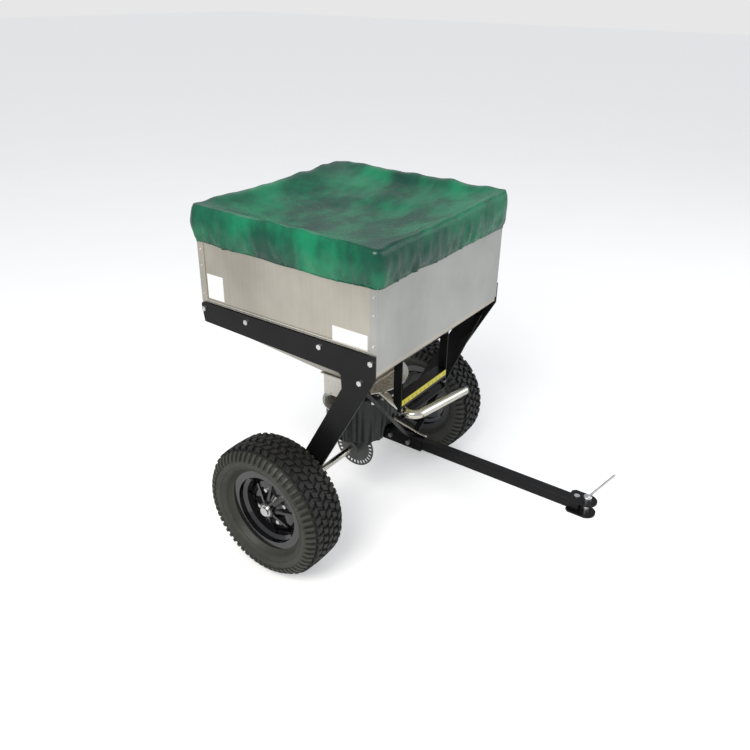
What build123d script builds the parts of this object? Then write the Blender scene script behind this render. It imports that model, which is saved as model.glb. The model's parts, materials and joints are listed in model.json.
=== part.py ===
from build123d import *
import math
import os

# Tow-behind broadcast spreader, millimetres.
# X runs across the machine, minus Y is the direction of travel, Z is up.
# The origin is on the ground, midway between the wheels, straight below the axle.
# The right side of the machine is at minus X.

# Wheels and axle
wheel_r = 200.0
track = 788.0
tyre_w = 140.0
tyre_wall = 9.0
tyre_neck = (12.0, 8.0)
groove_deep = 3.5
groove_w = 4.0
groove_step = 26.0
rim_r = 122.0
rim_w = 78.0
rim_sheet = 3.0
bead_r = 105.0
bead_seat = 17.0
well_r = 95.0
well_slope = 7.0
hub_r = 22.0
dish_depth = 40.0
dish_shoulder = (9.0, 20.0)
bolt_land = 11.0
land_rise = 13.0
hub_rise = 25.0
rim_ribs = 8
rib_t = 8.0
rib_h = 5.0
rim_bolts = 4
rim_bolt_r = 50.0
rim_bolt_h = 5.0
axle_d = 20.0
axle_end = 8.0
cap_washer_t = 2.5
cap_wall = 3.0
bush_wall = 5.0
bush_flange_r = 21.0
bush_flange_t = 4.0
run_gap = 0.05

# Sidewall lines of a tyre: in from its widest point, then down from the tread
sidewall = [(2.0, 58.0), (0.0, 42.0), (2.0, 22.0), (18.0, 6.0)]
sidewall_inside = [(2.0, 27.0), (0.0, 42.0), (4.0, 56.0)]

# Hopper
sheet = 2.0
hopper_w = 618.0
hopper_l = 590.0
hopper_y = 18.0
rim_z = 965.0
fold_z = 650.0
outlet_z = 459.0
outlet_w = 152.0
corner_strip = 20.0
lip_w = 12.0
collar_h = 14.0
rivet_r = 3.0
rivet_head = 1.5
rivet_shares = (0.096, 0.404, 0.577)

# Side plates, one each side, from the hopper down to the axle
side_t = 6.0
side_top = 705.0
side_rear_h = 57.0
side_front_h = 72.0
leg_w = 64.0
leg_front_z = 643.0
knee_drop = 42.0
knee_r = 12.0
side_bolt_drop = 18.0
side_bolt_edge = 12.0
side_bolt_inner = 125.0
bolt_r = 4.0

# Drawbar and hitch
bar_w = 30.0
bar_wall = 2.5
bar_z = 285.0
pin_y = 738.0
clevis_t = 5.0
clevis_w = 52.0
clevis_l = 48.0
clevis_cut = 8.0
clevis_bolt_back = 28.0
pin_d = 16.0
pin_gap = 0.1
pin_drop = 15.0
pin_tail_d = 14.0
pin_tail_l = 14.0
handle_d = 5.6
handle_reach = 57.0
handle_rise = 90.0
pin_head_h = 13.0
channel_t = 3.5
channel_l = 147.0
channel_bolt_step = 65.0
brace_w = 18.0
brace_t = 4.0
brace_top_z = 606.0
brace_y = 195.0
brace_inset = 45.0
brace_bolt_rise = 18.0

# Gear train below the hopper
slots = 30
slot_circle = 59.5
slot_len = 12.0
slot_w = 6.4
disc_r = 70.0
disc_t = 3.0
teeth = 12
tooth_h = 7.0
shaft_d = 16.0
bracket_t = 5.0
bracket_top = 340.0
bracket_front = 90.0
bracket_rear = 50.0
bracket_side = 40.0
bracket_clear = 9.5
bracket_boss = 16.0
disc_hub_l = 16.0
pinion_hub_l = 18.0
tooth_root = 6.5
tooth_tip = 3.2
tooth_halves = (2.9, 1.9, 1.0)
screw_inset = 12.0
stay_d = 8.0
stay_x = 9.0
guard_r = 103.0
guard_wall = 2.5
guard_bottom = 262.0
flange_t = 3.5

# Spinner, duct and curtain
spinner_r = 114.0
spinner_z = 356.0
spinner_t = 3.0
fin_h = 26.0
fin_t = 2.5
fins = 6
duct_w = 154.0
duct_bottom = 388.0
deck_z = 414.0
deck_t = 3.0
deck_rim = 12.0
curtain_r = 121.0
curtain_t = 3.5
curtain_foot_r = 110.0
curtain_bottom = 268.0
curtain_half_angle = 80.0
curtain_bolt_count = 5
curtain_bolt_step = 35.0
curtain_bolt_r = 3.0

# Rate gate, lever and quadrant
gate_t = 3.0
gate_gap = 0.3
gate_r = 73.0
lobe_r = 147.0
lobe_start = -131.0
lobe_stop = -30.0
window_angle = 34.0
windows = 3
lever_angle = 23.8
lever_travel = 36.0
lever_d = 25.0
lever_wall = 2.0
lever_r = 290.0
lever_start = 96.0
handle_l = 229.0
handle_sweep = 9.5
bend_r = 30.0
quadrant_y = 229.0
quadrant_z = 482.0
face_h = 23.0
quadrant_deep = 34.0
quadrant_t = 3.0
notched_bar_w = 26.0
notches = 11
notch_w = 9.0
notch_deep = 8.0
hanger_w = 26.0
neck_w = 12.0
foot_w = 20.0
stop_bolt_r = 3.0
stop_bolt_back = 6.0
stop_reach = 6.0
scale_h = 16.5
scale_t = 0.8

# Agitator
finger_r = 3.5
finger_run = 46.0
finger_rise = 26.0
agitator_h = 34.0

# Cover
cover_t = 2.5
cover_drop = 82.0
cover_gap = 1.0

axle_r = axle_d / 2
hub_len = rim_w - 2
half_track = track / 2
axle_half = half_track + hub_len / 2 + axle_end
front_y = hopper_y - hopper_l / 2
rear_y = hopper_y + hopper_l / 2
half_w = hopper_w / 2
plate_in = half_w + sheet
plate_out = plate_in + side_t
outlet_half = outlet_w / 2
duct_half = duct_w / 2
shaft_r = shaft_d / 2
bar_top = bar_z + bar_w / 2
bar_bottom = bar_z - bar_w / 2
pinion_r = slot_circle * teeth / slots
pinion_z = wheel_r + slot_circle
bracket_x = pinion_r + bracket_clear
guard_top = bracket_top + guard_wall
brace_top_y = -front_y - brace_inset
brace_bolt_z = brace_top_z + brace_bolt_rise
bush_r = shaft_r + 4
flange_r = shaft_r + 10
outlet_plate_t = sheet + 1.0
gate_top = outlet_z - outlet_plate_t - gate_gap
gate_bottom = gate_top - gate_t
upper_bush_low = gate_bottom - gate_gap - flange_t
upper_bush_top = outlet_z + 12
lever_z = gate_bottom - lever_d / 2
guide_z = lever_z - lever_d / 2 - 2 * gate_gap
side_bolt_z = side_top - side_bolt_drop

# The leg leans so that its front edge meets the front of the side plate at leg_front_z
leg_height = leg_front_z - wheel_r
lean = math.acos(leg_w / 2 / math.hypot(front_y, leg_height)) - math.atan2(leg_height, -front_y)

# The lever rests one short reach from the stop bolt, which places the hangers
lever_turn = math.radians(lever_angle)
stop_y = quadrant_y - stop_bolt_back
quadrant_half = stop_y * math.tan(lever_turn) + lever_d / 2 / math.cos(lever_turn) + stop_reach


def block(x0, x1, y0, y1, z0, z1):
    """Box between two corners."""
    size = Box(abs(x1 - x0), abs(y1 - y0), abs(z1 - z0))
    return Pos((x0 + x1) / 2, (y0 + y1) / 2, (z0 + z1) / 2) * size


def rod_x(r, x0, x1, y=0.0, z=0.0):
    """Cylinder along X."""
    return Pos((x0 + x1) / 2, y, z) * Rot(0, 90, 0) * Cylinder(r, abs(x1 - x0))


def rod_y(r, y0, y1, x=0.0, z=0.0):
    """Cylinder along Y."""
    return Pos(x, (y0 + y1) / 2, z) * Rot(90, 0, 0) * Cylinder(r, abs(y1 - y0))


def rod_z(r, z0, z1, x=0.0, y=0.0):
    """Cylinder along Z."""
    return Pos(x, y, (z0 + z1) / 2) * Cylinder(r, abs(z1 - z0))


def plate_yz(points, x0, x1):
    """Flat plate with an outline given as (y, z) points, between two X faces."""
    face = make_face(Polyline([(0, y, z) for y, z in points], close=True))
    plate = extrude(face, amount=x1 - x0, dir=(1, 0, 0))
    return Pos(x0, 0, 0) * plate


def sector(r_in, r_out, start, stop, z0, z1):
    """Ring sector about the Z axis, angles in degrees."""
    def at(r, angle):
        a = math.radians(angle)
        return (r * math.cos(a), r * math.sin(a), z0)
    middle = (start + stop) / 2
    outer = ThreePointArc(at(r_out, start), at(r_out, middle), at(r_out, stop))
    inner = ThreePointArc(at(r_in, stop), at(r_in, middle), at(r_in, start))
    ends = [Line(at(r_out, stop), at(r_in, stop)), Line(at(r_in, start), at(r_out, start))]
    return extrude(make_face([outer, ends[0], inner, ends[1]]), amount=z1 - z0, dir=(0, 0, 1))


def spin_z(shape, angle):
    """Turn a shape about the Z axis."""
    return Rot(0, 0, angle) * shape


def sides(make):
    """The same piece on the right (-1) and left (1) of the machine."""
    return {"right": make(-1), "left": make(1)}


def hex_bolt_x(side, x_head, x_end, y, z, r=bolt_r):
    """Bolt across the machine: hexagon head outside, nut at its end."""
    head_t = r * 1.1
    hexagon = extrude(RegularPolygon(r * 1.9, 6), amount=head_t)
    head = Pos(x_head, y, z) * Rot(0, 90 * side, 0) * hexagon
    shank = rod_x(r, x_head, x_end, y, z)
    nut = Pos(x_end, y, z) * Rot(0, -90 * side, 0) * hexagon
    return head + shank + nut


# Wheels

def wheel_place(shape, side):
    """Put a wheel piece, drawn with its outside towards plus X, on its axle end."""
    turn = 0 if side > 0 else 180
    return Pos(side * half_track, 0, wheel_r) * Rot(0, 0, turn) * shape


def tyre(side):
    half = tyre_w / 2
    seat = rim_w / 2 - rim_sheet
    toe = seat - tyre_wall + 1
    cavity_r = wheel_r - tyre_wall
    foot = [(seat, bead_r), (seat, rim_r + run_gap * 8), (seat + tyre_neck[0], rim_r + tyre_neck[1])]
    outer = [(half - inward, wheel_r - down) for inward, down in sidewall]
    inside = [(half - tyre_wall - inward, wheel_r - down) for inward, down in sidewall_inside]
    shoulder = outer[-1]
    crown_edge = (toe + 16, cavity_r - 6)
    edges = [
        Line(foot[0], foot[1]), Line(foot[1], foot[2]), Spline(*[Vector(*p) for p in foot[2:] + outer]),
        ThreePointArc(shoulder, (shoulder[0] / 2, wheel_r - 1.2), (0, wheel_r)),
        Line((0, wheel_r), (0, cavity_r)), Line((0, cavity_r), crown_edge),
        Spline(crown_edge, *inside, (toe, rim_r)), Line((toe, rim_r), (toe, bead_r)), Line((toe, bead_r), foot[0]),
    ]
    ring = revolve(make_face(edges), Axis.X, 360)
    ring += mirror(ring, Plane.YZ)
    for place in (-1, 0, 1):
        u0 = place * groove_step - groove_w / 2
        u1 = u0 + groove_w
        ring -= rod_x(wheel_r + groove_deep, u0, u1) - rod_x(wheel_r - groove_deep, u0, u1)
    return wheel_place(ring, side)


def rim(side):
    edge = rim_w / 2
    seat = edge - rim_sheet
    well = edge - bead_seat
    half_sheet = rim_sheet / 2
    barrel_points = [
        (edge, rim_r), (seat, rim_r), (seat, bead_r), (well, bead_r), (well - well_slope, well_r),
        (well_slope - well, well_r), (-well, bead_r), (-seat, bead_r), (-seat, rim_r), (-edge, rim_r),
        (-edge, bead_r - rim_sheet), (-well - half_sheet, bead_r - rim_sheet),
        (well_slope - well - half_sheet, well_r - rim_sheet), (well + half_sheet - well_slope, well_r - rim_sheet),
        (well + half_sheet, bead_r - rim_sheet), (edge, bead_r - rim_sheet),
    ]
    barrel = revolve(make_face(Polyline(barrel_points, close=True)), Axis.X, 360)
    foot = edge - dish_depth
    dish_line = [
        (foot, well_r - half_sheet), (foot + dish_shoulder[0], well_r - dish_shoulder[1]),
        (foot + land_rise, rim_bolt_r + bolt_land), (foot + land_rise, rim_bolt_r - bolt_land),
        (foot + hub_rise, hub_r + 4), (foot + hub_rise, hub_r - 1),
    ]
    back_line = [(u - rim_sheet, r) for u, r in reversed(dish_line)]
    dish = revolve(make_face(Polyline(dish_line + back_line, close=True)), Axis.X, 360)
    wheel = barrel + dish + rod_x(hub_r, -hub_len / 2, hub_len / 2)
    rib_top = [(foot + 1, well_r - 4)] + [(u + rib_h, r) for u, r in dish_line[1:3] + dish_line[4:]]
    rib_root = [(u - half_sheet, r) for u, r in reversed(dish_line)]
    rib_face = make_face(Polyline(rib_top + rib_root, close=True))
    rib = extrude(rib_face, amount=rib_t / 2, both=True)
    for k in range(rim_ribs):
        wheel += Rot(360 / rim_ribs * k, 0, 0) * rib
    wheel -= rod_x(axle_r + run_gap, -hub_len, hub_len)
    return wheel_place(wheel, side)


def rim_bolt_set(side):
    """Bolts that hold the two pressed halves of a rim together."""
    face_u = rim_w / 2 - dish_depth + land_rise
    hexagon = extrude(RegularPolygon(bolt_r * 1.6, 6), amount=rim_bolt_h)
    bolts = []
    for k in range(rim_bolts):
        angle = 360 / rim_bolts * k + 180 / rim_ribs
        bolt = Pos(face_u, rim_bolt_r, 0) * Rot(0, 90, 0) * hexagon
        bolts.append(wheel_place(Rot(angle, 0, 0) * bolt, side))
    return Compound(children=bolts)


def axle_cap(side):
    """Washer and push-on cap that keep a wheel on the axle."""
    x0 = side * (half_track + hub_len / 2)
    step = x0 + side * cap_washer_t
    washer = rod_x(hub_r - 5, x0, step, 0, wheel_r)
    cap = rod_x(axle_r + cap_wall, step, x0 + side * (axle_end + cap_wall - 1), 0, wheel_r)
    bore = rod_x(axle_r, x0 - side, x0 + side * axle_end, 0, wheel_r)
    return washer + cap - bore


def axle_bush(side):
    """Flanged bush in the foot of a side plate."""
    body = rod_x(axle_r + bush_wall, side * (plate_in - 8), side * (plate_out + 2), 0, wheel_r)
    flange = rod_x(bush_flange_r, side * plate_out, side * (plate_out + bush_flange_t), 0, wheel_r)
    bore = rod_x(axle_r + run_gap, side * (plate_in - 20), side * (plate_out + 20), 0, wheel_r)
    return body + flange - bore


def axle_spacer(side):
    """Sleeve between the bush and the wheel hub."""
    x0 = side * (plate_out + bush_flange_t + gate_gap)
    x1 = side * (half_track - hub_len / 2 - gate_gap)
    return rod_x(axle_r + bush_wall, x0, x1, 0, wheel_r) - rod_x(axle_r, x0, x1, 0, wheel_r)


# Slotted drive disc on the axle and the pinion that it turns

def drive_disc():
    disc = rod_x(disc_r, -pinion_r - disc_t / 2, -pinion_r + disc_t / 2)
    slot_face = SlotOverall(slot_len, slot_w)
    slot = Pos(-pinion_r - disc_t, 0, slot_circle) * Rot(0, 90, 0) * extrude(slot_face, amount=disc_t * 2)
    for k in range(slots):
        disc -= Rot(360 / slots * k, 0, 0) * slot
    disc -= rod_x(axle_r, -pinion_r - disc_t, -pinion_r + disc_t)
    return Pos(0, 0, wheel_r) * disc


def disc_hub():
    """Collar welded to the disc, with its set screw."""
    x1 = -pinion_r - disc_t / 2
    x0 = x1 - disc_hub_l
    hub = rod_x(axle_r + 9, x0, x1, 0, wheel_r) - rod_x(axle_r, x0, x1, 0, wheel_r)
    screw = rod_y(3, -axle_r - 13, -axle_r - 1, (x0 + x1) / 2, wheel_r)
    return hub + screw


def pinion():
    root = pinion_r - tooth_root
    tip = pinion_r + tooth_tip
    body = rod_z(root, -tooth_h / 2, tooth_h / 2)
    flank = list(zip((root - 1, pinion_r, tip), tooth_halves))
    tooth_face = make_face(Polyline([(r, -half) for r, half in flank] + flank[::-1], close=True))
    tooth = Pos(0, 0, -tooth_h / 2) * extrude(tooth_face, amount=tooth_h)
    for k in range(teeth):
        body += Rot(0, 0, 360 / teeth * k + 180) * tooth
    body += rod_z(shaft_r + 6, tooth_h / 2, tooth_h / 2 + pinion_hub_l)
    body -= rod_z(shaft_r, -tooth_h, tooth_h * 4)
    return Pos(0, 0, pinion_z) * body


def gear_bracket():
    """Bent plate that hangs the gear train on the axle."""
    face_x = bracket_x
    boss = axle_r + bracket_boss
    cheek = plate_yz([
        (-bracket_front, bracket_top), (bracket_rear, bracket_top), (bracket_rear, bracket_top - 30),
        (boss, wheel_r + 10), (boss, wheel_r), (-boss, wheel_r), (-boss, wheel_r + 10),
        (-bracket_front, bar_bottom - channel_t),
    ], face_x, face_x + bracket_t)
    cheek += rod_x(boss, face_x, face_x + bracket_t, 0, wheel_r)
    top = block(-bracket_side, face_x + 1, -bracket_front, bracket_rear, bracket_top - bracket_t, bracket_top)
    web = block(-bar_w, face_x + 1, -bracket_front, bracket_t - bracket_front,
                bar_bottom - channel_t, bracket_top)
    frame = cheek + top + web
    frame -= rod_x(axle_r + bush_wall, face_x - 5, face_x + 15, 0, wheel_r)
    frame -= rod_z(bush_r, bracket_top - 20, bracket_top + 20)
    return frame


def bracket_stay():
    """Bright rod from the top of the drawbar up to the front of the gear bracket."""
    r = stay_d / 2
    low = bar_top + r
    front = -bracket_front - channel_l
    end = -bracket_front + r
    path = FilletPolyline((stay_x, front, low), (stay_x, front + 16, low),
                          (stay_x, end, bracket_top - 8), radius=12)
    rod = sweep(Plane(origin=(stay_x, front, low), z_dir=(0, 1, 0)) * Circle(r), path=path)
    return rod - block(-bar_w, bar_w, -bracket_front, end + stay_d, bar_bottom, bracket_top + 20)


def bracket_bush():
    face_x = bracket_x
    body = rod_x(axle_r + bush_wall, face_x - 6, face_x + bracket_t + 6, 0, wheel_r)
    flange = rod_x(axle_r + 9, face_x - 9, face_x, 0, wheel_r)
    return body + flange - rod_x(axle_r + run_gap, face_x - 20, face_x + 30, 0, wheel_r)


def shaft_bush():
    """Lower bush of the upright shaft, seated on the gear guard."""
    body = rod_z(bush_r, bracket_top - bracket_t - 12, guard_top)
    flange = rod_z(flange_r, guard_top, guard_top + flange_t)
    return body + flange - rod_z(shaft_r + run_gap, bracket_top - 40, bracket_top + 20)


def gear_guard():
    """Inverted cup over the gear train, open below, notched for the drawbar channel."""
    cup = rod_z(guard_r, guard_bottom, guard_top) - rod_z(guard_r - guard_wall, guard_bottom - 1, bracket_top)
    cup = fillet(cup.edges().group_by(Axis.Z)[-1], guard_wall * 0.75)
    cup -= rod_z(bush_r, bracket_top - 5, guard_top + 5)
    notch = bar_w / 2 + channel_t + 5
    cup -= block(-notch, notch, -guard_r - 5, -guard_r + 20, guard_bottom - 5, bracket_top - 3)
    return cup


def guard_screw_places():
    x = bracket_side - screw_inset
    front = screw_inset - bracket_front
    rear = bracket_rear - screw_inset
    return [(-x, front), (-x, rear), (x, rear), (x, front)]


def guard_screws():
    return Compound(children=[
        rod_z(6, guard_top, guard_top + 3, x, y) + rod_z(2.5, bracket_top - bracket_t - 6, guard_top + 1, x, y)
        for x, y in guard_screw_places()
    ])


def bored_for_screws(shape):
    """Screw holes through the guard and the bracket."""
    for x, y in guard_screw_places():
        shape -= rod_z(2.5, bracket_top - 20, bracket_top + 20, x, y)
    return shape


# Drawbar, hitch and braces

def drawbar():
    y0 = -pin_y + 16
    y1 = -bracket_front - 3
    bar = block(-bar_w / 2, bar_w / 2, y0, y1, bar_bottom, bar_top)
    bar = fillet(bar.edges().filter_by(Axis.Y), 3.0)
    bore = block(-bar_w / 2 + bar_wall, bar_w / 2 - bar_wall, y0 - 1, y1 + 1,
                 bar_bottom + bar_wall, bar_top - bar_wall)
    bar -= bore
    bar -= rod_z(bolt_r, bar_bottom - 5, bar_top + 5, 0, -pin_y + clevis_bolt_back)
    for y in channel_bolt_places():
        bar -= rod_x(bolt_r, -bar_w, bar_w, y, bar_z)
    return bar


def channel_bolt_places():
    return [-brace_y, -brace_y + channel_bolt_step]


def drawbar_channel():
    """Channel that wraps the rear of the drawbar and meets the gear bracket."""
    half = bar_w / 2 + channel_t
    y1 = -bracket_front
    y0 = y1 - channel_l
    channel = block(-half, half, y0, y1, bar_bottom - channel_t, bar_top + 4)
    channel -= block(-bar_w / 2, bar_w / 2, y0 - 1, y1 + 1, bar_bottom, bar_top + 10)
    for y in channel_bolt_places():
        channel -= rod_x(bolt_r, -2 * half, 2 * half, y, bar_z)
    return channel


def channel_bolts():
    half = bar_w / 2 + channel_t
    first, second = channel_bolt_places()
    outer = half + brace_t
    front = hex_bolt_x(-1, -outer, outer, first, bar_z)
    rear = hex_bolt_x(-1, -half, half, second, bar_z)
    return Compound(children=[front, rear])


def clevis_plate(z0):
    y_rear = -pin_y + clevis_l
    half = clevis_w / 2
    cut = clevis_cut
    points = [(half - cut, y_rear), (half, y_rear - cut), (half, -pin_y), (-half, -pin_y),
              (-half, y_rear - cut), (-half + cut, y_rear)]
    face = make_face(Polyline([(x, y, z0) for x, y in points], close=True))
    plate = extrude(face, amount=clevis_t, dir=(0, 0, 1)) + rod_z(half, z0, z0 + clevis_t, 0, -pin_y)
    plate -= rod_z(pin_d / 2 + pin_gap, z0 - 1, z0 + clevis_t + 1, 0, -pin_y)
    plate -= rod_z(bolt_r, z0 - 1, z0 + clevis_t + 1, 0, -pin_y + clevis_bolt_back)
    return plate


def clevis_bolt():
    """Upright bolt that clamps the clevis plates on the drawbar, nut below."""
    y = -pin_y + clevis_bolt_back
    low = bar_bottom - clevis_t
    shank = rod_z(bolt_r, low - 10, bar_top + clevis_t + 1, 0, y)
    head = rod_z(bolt_r * 1.9, bar_top + clevis_t, bar_top + clevis_t + 2.5, 0, y)
    nut = Pos(0, y, low - 7) * extrude(RegularPolygon(bolt_r * 2.1, 6), amount=7)
    return shank + head + nut


def hitch_pin():
    top = bar_top + clevis_t
    low = bar_bottom - clevis_t - pin_drop
    pin = rod_z(pin_d / 2, low + pin_tail_l, top + 2, 0, -pin_y)
    pin += rod_z(pin_tail_d / 2, low, low + pin_tail_l + 1, 0, -pin_y)
    head = rod_z(pin_d / 2 + 3, top, top + pin_head_h, 0, -pin_y)
    head = fillet(head.edges().group_by(Axis.Z)[-1], 4.0)
    start = Vector(0, -pin_y, top + pin_head_h - 5)
    end = Vector(0, -pin_y - handle_reach, top + pin_head_h + handle_rise)
    path = Line(start, end)
    handle = sweep(Plane(origin=start, z_dir=end - start) * Circle(handle_d / 2), path=path)
    return pin + head + handle


def brace(side):
    """Flat stay from the drawbar channel to the front of a side plate."""
    half = bar_w / 2 + channel_t
    low = block(side * half, side * (half + brace_t), -brace_y - brace_w / 2, -brace_y + brace_w / 2,
                bar_z - 10, bar_top + 8)
    high = block(side * plate_in, side * (plate_in - brace_t), -brace_top_y - brace_w / 2,
                 -brace_top_y + brace_w / 2, brace_top_z - 4, brace_top_z + 30)
    thick = brace_t * 1.3
    start = Plane(origin=(side * (half + brace_t / 2), -brace_y, bar_top + 8 - thick / 2), x_dir=(0, 1, 0),
                  z_dir=(side, 0, 0))
    stop = Plane(origin=(side * (plate_in - brace_t / 2), -brace_top_y, brace_top_z - 4 + thick / 2),
                 x_dir=(0, 1, 0), z_dir=(side, 0, 0))
    run = loft([start * Rectangle(brace_w, thick), stop * Rectangle(brace_w, thick)])
    strap = low + run + high
    strap -= rod_x(bolt_r, side * half, side * (half + brace_t), -brace_y, bar_z)
    strap -= rod_x(bolt_r, side * plate_in, side * (plate_in - brace_t), -brace_top_y, brace_bolt_z)
    return strap


# Side plates

def leg_edges():
    """Front and rear edge lines of the leg, as functions of height."""
    offset = leg_w / 2 / math.cos(lean)

    def front(z):
        return -(z - wheel_r) * math.tan(lean) - offset

    def rear(z):
        return -(z - wheel_r) * math.tan(lean) + offset
    return front, rear


def side_plate(side):
    front, rear = leg_edges()
    inner_z = side_top - side_front_h
    rear_z = side_top - side_rear_h
    knee_z = inner_z - knee_drop
    low = wheel_r + leg_w / 2 * math.sin(lean)
    foot_z = wheel_r - leg_w / 2 * math.sin(lean)
    points = [
        (rear_y, side_top), (rear_y - 9, rear_z), (rear(knee_z) + 3, inner_z),
        (rear(knee_z), knee_z), (rear(low), low), (front(foot_z), foot_z),
        (front_y, leg_front_z), (front_y, side_top),
    ]
    x0 = min(side * plate_in, side * plate_out)
    plate = plate_yz(points, x0, x0 + side_t)
    corner = plate.edges().filter_by(Axis.X).sort_by_distance((x0, rear(knee_z) + 3, inner_z))[0]
    plate = fillet(corner, knee_r)
    top = plate.edges().filter_by(Axis.X).sort_by_distance((x0, rear_y, side_top))[0]
    plate = fillet(top, 8)
    plate += rod_x(leg_w / 2, x0, x0 + side_t, 0, wheel_r)
    plate -= rod_x(axle_r + bush_wall, x0 - 1, x0 + side_t + 1, 0, wheel_r)
    for y in side_bolt_places():
        plate -= rod_x(bolt_r, x0 - 1, x0 + side_t + 1, y, side_bolt_z)
    plate -= rod_x(bolt_r, x0 - 1, x0 + side_t + 1, -brace_top_y, brace_bolt_z)
    return plate


def side_bolt_places():
    outer = hopper_l / 2 - side_bolt_edge
    return [hopper_y + dy for dy in (-outer, -side_bolt_inner, side_bolt_inner, outer)]


def side_bolts(side):
    bolts = []
    for y in side_bolt_places():
        bolts.append(hex_bolt_x(side, side * plate_out, side * (half_w - 2 * sheet), y, side_bolt_z))
    bolts.append(hex_bolt_x(side, side * plate_out, side * (plate_in - brace_t), -brace_top_y, brace_bolt_z))
    return Compound(children=bolts)


# Hopper

def side_panel(side):
    x0 = side * half_w
    x1 = side * (half_w - sheet)
    y0 = front_y + sheet
    y1 = rear_y - sheet
    panel = block(x0, x1, y0, y1, fold_z, rim_z)
    panel += block(x1, side * (half_w - sheet - lip_w), y0 + lip_w, y1 - lip_w, rim_z - sheet, rim_z)
    for y in side_bolt_places():
        panel -= rod_x(bolt_r, x0, x1, y, side_bolt_z)
    return panel


def end_panel(end):
    """Front (-1) or rear (1) panel, wrapped round the corners onto the sides."""
    face = front_y if end < 0 else rear_y
    inner = face - end * sheet
    low = fold_z + collar_h - 1
    panel = block(-plate_in, plate_in, face, inner, low, rim_z)
    for side in (-1, 1):
        strip = block(side * half_w, side * plate_in, inner, inner - end * corner_strip, low, rim_z)
        for y in side_bolt_places():
            strip -= rod_x(bolt_r, side * (half_w - 5), side * (plate_in + 5), y, side_bolt_z)
        panel += strip
    panel += block(-half_w + sheet, half_w - sheet, inner, inner - end * lip_w, rim_z - sheet, rim_z)
    return panel


def funnel():
    """Four sloping faces down to the square outlet, with an upright collar at the top."""
    top_l = hopper_l - 2 * sheet
    top_w = hopper_w - 2 * sheet

    def skin(inset):
        low = Plane.XY.offset(outlet_z) * Rectangle(outlet_w - 2 * inset, outlet_w - 2 * inset)
        high = Pos(0, hopper_y, fold_z) * Rectangle(top_w - 2 * inset, top_l - 2 * inset)
        return loft([low, high])
    body = skin(0) - skin(sheet)
    collar = Pos(0, hopper_y, fold_z + collar_h / 2) * Box(top_w, top_l, collar_h)
    collar -= Pos(0, hopper_y, fold_z + collar_h / 2) * Box(top_w - 2 * sheet, top_l - 2 * sheet, collar_h + 2)
    return body + collar


def hopper_rivets():
    """Rivets down the corner strips."""
    heads = []
    for side in (-1, 1):
        for y in (front_y + corner_strip / 2, rear_y - corner_strip / 2):
            for share in rivet_shares:
                z = side_top + (rim_z - side_top) * share
                heads.append(rod_x(rivet_r, side * plate_in, side * (plate_in + rivet_head), y, z))
    return Compound(children=heads)


# Outlet, rate gate and duct

def outlet_plate():
    half = outlet_half + 8
    plate = block(-half, half, -half, half, outlet_z - outlet_plate_t, outlet_z)
    plate -= rod_z(bush_r, outlet_z - 10, outlet_z + 10)
    plate -= window_set(0, outlet_z - 10, outlet_z + 10)
    return plate


def window_set(turn, z0, z1):
    cut = None
    for k in range(windows):
        middle = 360 / windows * k - 90 + turn
        piece = sector(shaft_r + 14, gate_r - 6, middle - window_angle / 2, middle + window_angle / 2, z0, z1)
        cut = piece if cut is None else cut + piece
    return cut


def gate_bush():
    """Upper bush of the upright shaft. The gate turns on it."""
    body = rod_z(bush_r, upper_bush_low, upper_bush_top)
    flange = rod_z(flange_r, upper_bush_low, upper_bush_low + flange_t)
    return body + flange - rod_z(shaft_r + run_gap, gate_bottom - 20, outlet_z + 30)


def rate_gate():
    """Turning shutter: a disc with windows and a lobe that carries the lever."""
    gate = rod_z(gate_r, gate_bottom, gate_top)
    gate += sector(gate_r - 5, lobe_r, lobe_start, lobe_stop, gate_bottom, gate_top)
    gate -= rod_z(bush_r + run_gap, gate_bottom - 1, gate_top + 1)
    gate -= window_set(-lever_travel, gate_bottom - 1, gate_top + 1)
    for r in lever_bolt_places():
        gate -= spin_z(rod_z(bolt_r, gate_bottom - 1, gate_top + 1, 0, -r), -lever_angle)
    return gate


def lever_bolt_places():
    return [lever_start + 12, lobe_r - 12]


def lever():
    """Stainless tube: out from the gate, round a bend and across as the handle."""
    a = lever_turn
    b = math.radians(handle_sweep)
    start = Vector(-lever_start * math.sin(a), -lever_start * math.cos(a), lever_z)
    corner = Vector(-lever_r * math.sin(a), -lever_r * math.cos(a), lever_z)
    end = corner + Vector(math.cos(b), -math.sin(b), 0) * handle_l
    path = FilletPolyline(start, corner, end, radius=bend_r)
    outside = Plane(origin=start, z_dir=corner - start)
    tube = sweep(outside * Circle(lever_d / 2), path=path)
    tube -= sweep(outside * Circle(lever_d / 2 - lever_wall), path=path)
    for r in lever_bolt_places():
        tube -= spin_z(rod_z(bolt_r, lever_z - lever_d, lever_z + lever_d, 0, -r), -lever_angle)
    return tube


def lever_end():
    a = lever_turn
    b = math.radians(handle_sweep)
    end = Vector(-lever_r * math.sin(a) + handle_l * math.cos(b),
                 -lever_r * math.cos(a) - handle_l * math.sin(b), lever_z)
    return end, Vector(math.cos(b), -math.sin(b), 0)


def lever_cap():
    end, direction = lever_end()
    cap = Plane(origin=end, z_dir=direction) * extrude(Circle(lever_d / 2 + 0.8), amount=3)
    plug = Plane(origin=end - direction * 14, z_dir=direction) * extrude(Circle(lever_d / 2 - lever_wall), amount=15)
    return cap + plug


def lever_bolts():
    low = lever_z - lever_d / 2
    bolts = []
    for r in lever_bolt_places():
        bolt = rod_z(bolt_r, low - 4, gate_top + 0.1, 0, -r)
        bolt += rod_z(bolt_r * 1.8, low - 4, low, 0, -r)
        bolts.append(spin_z(bolt, -lever_angle))
    return Compound(children=bolts)


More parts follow.
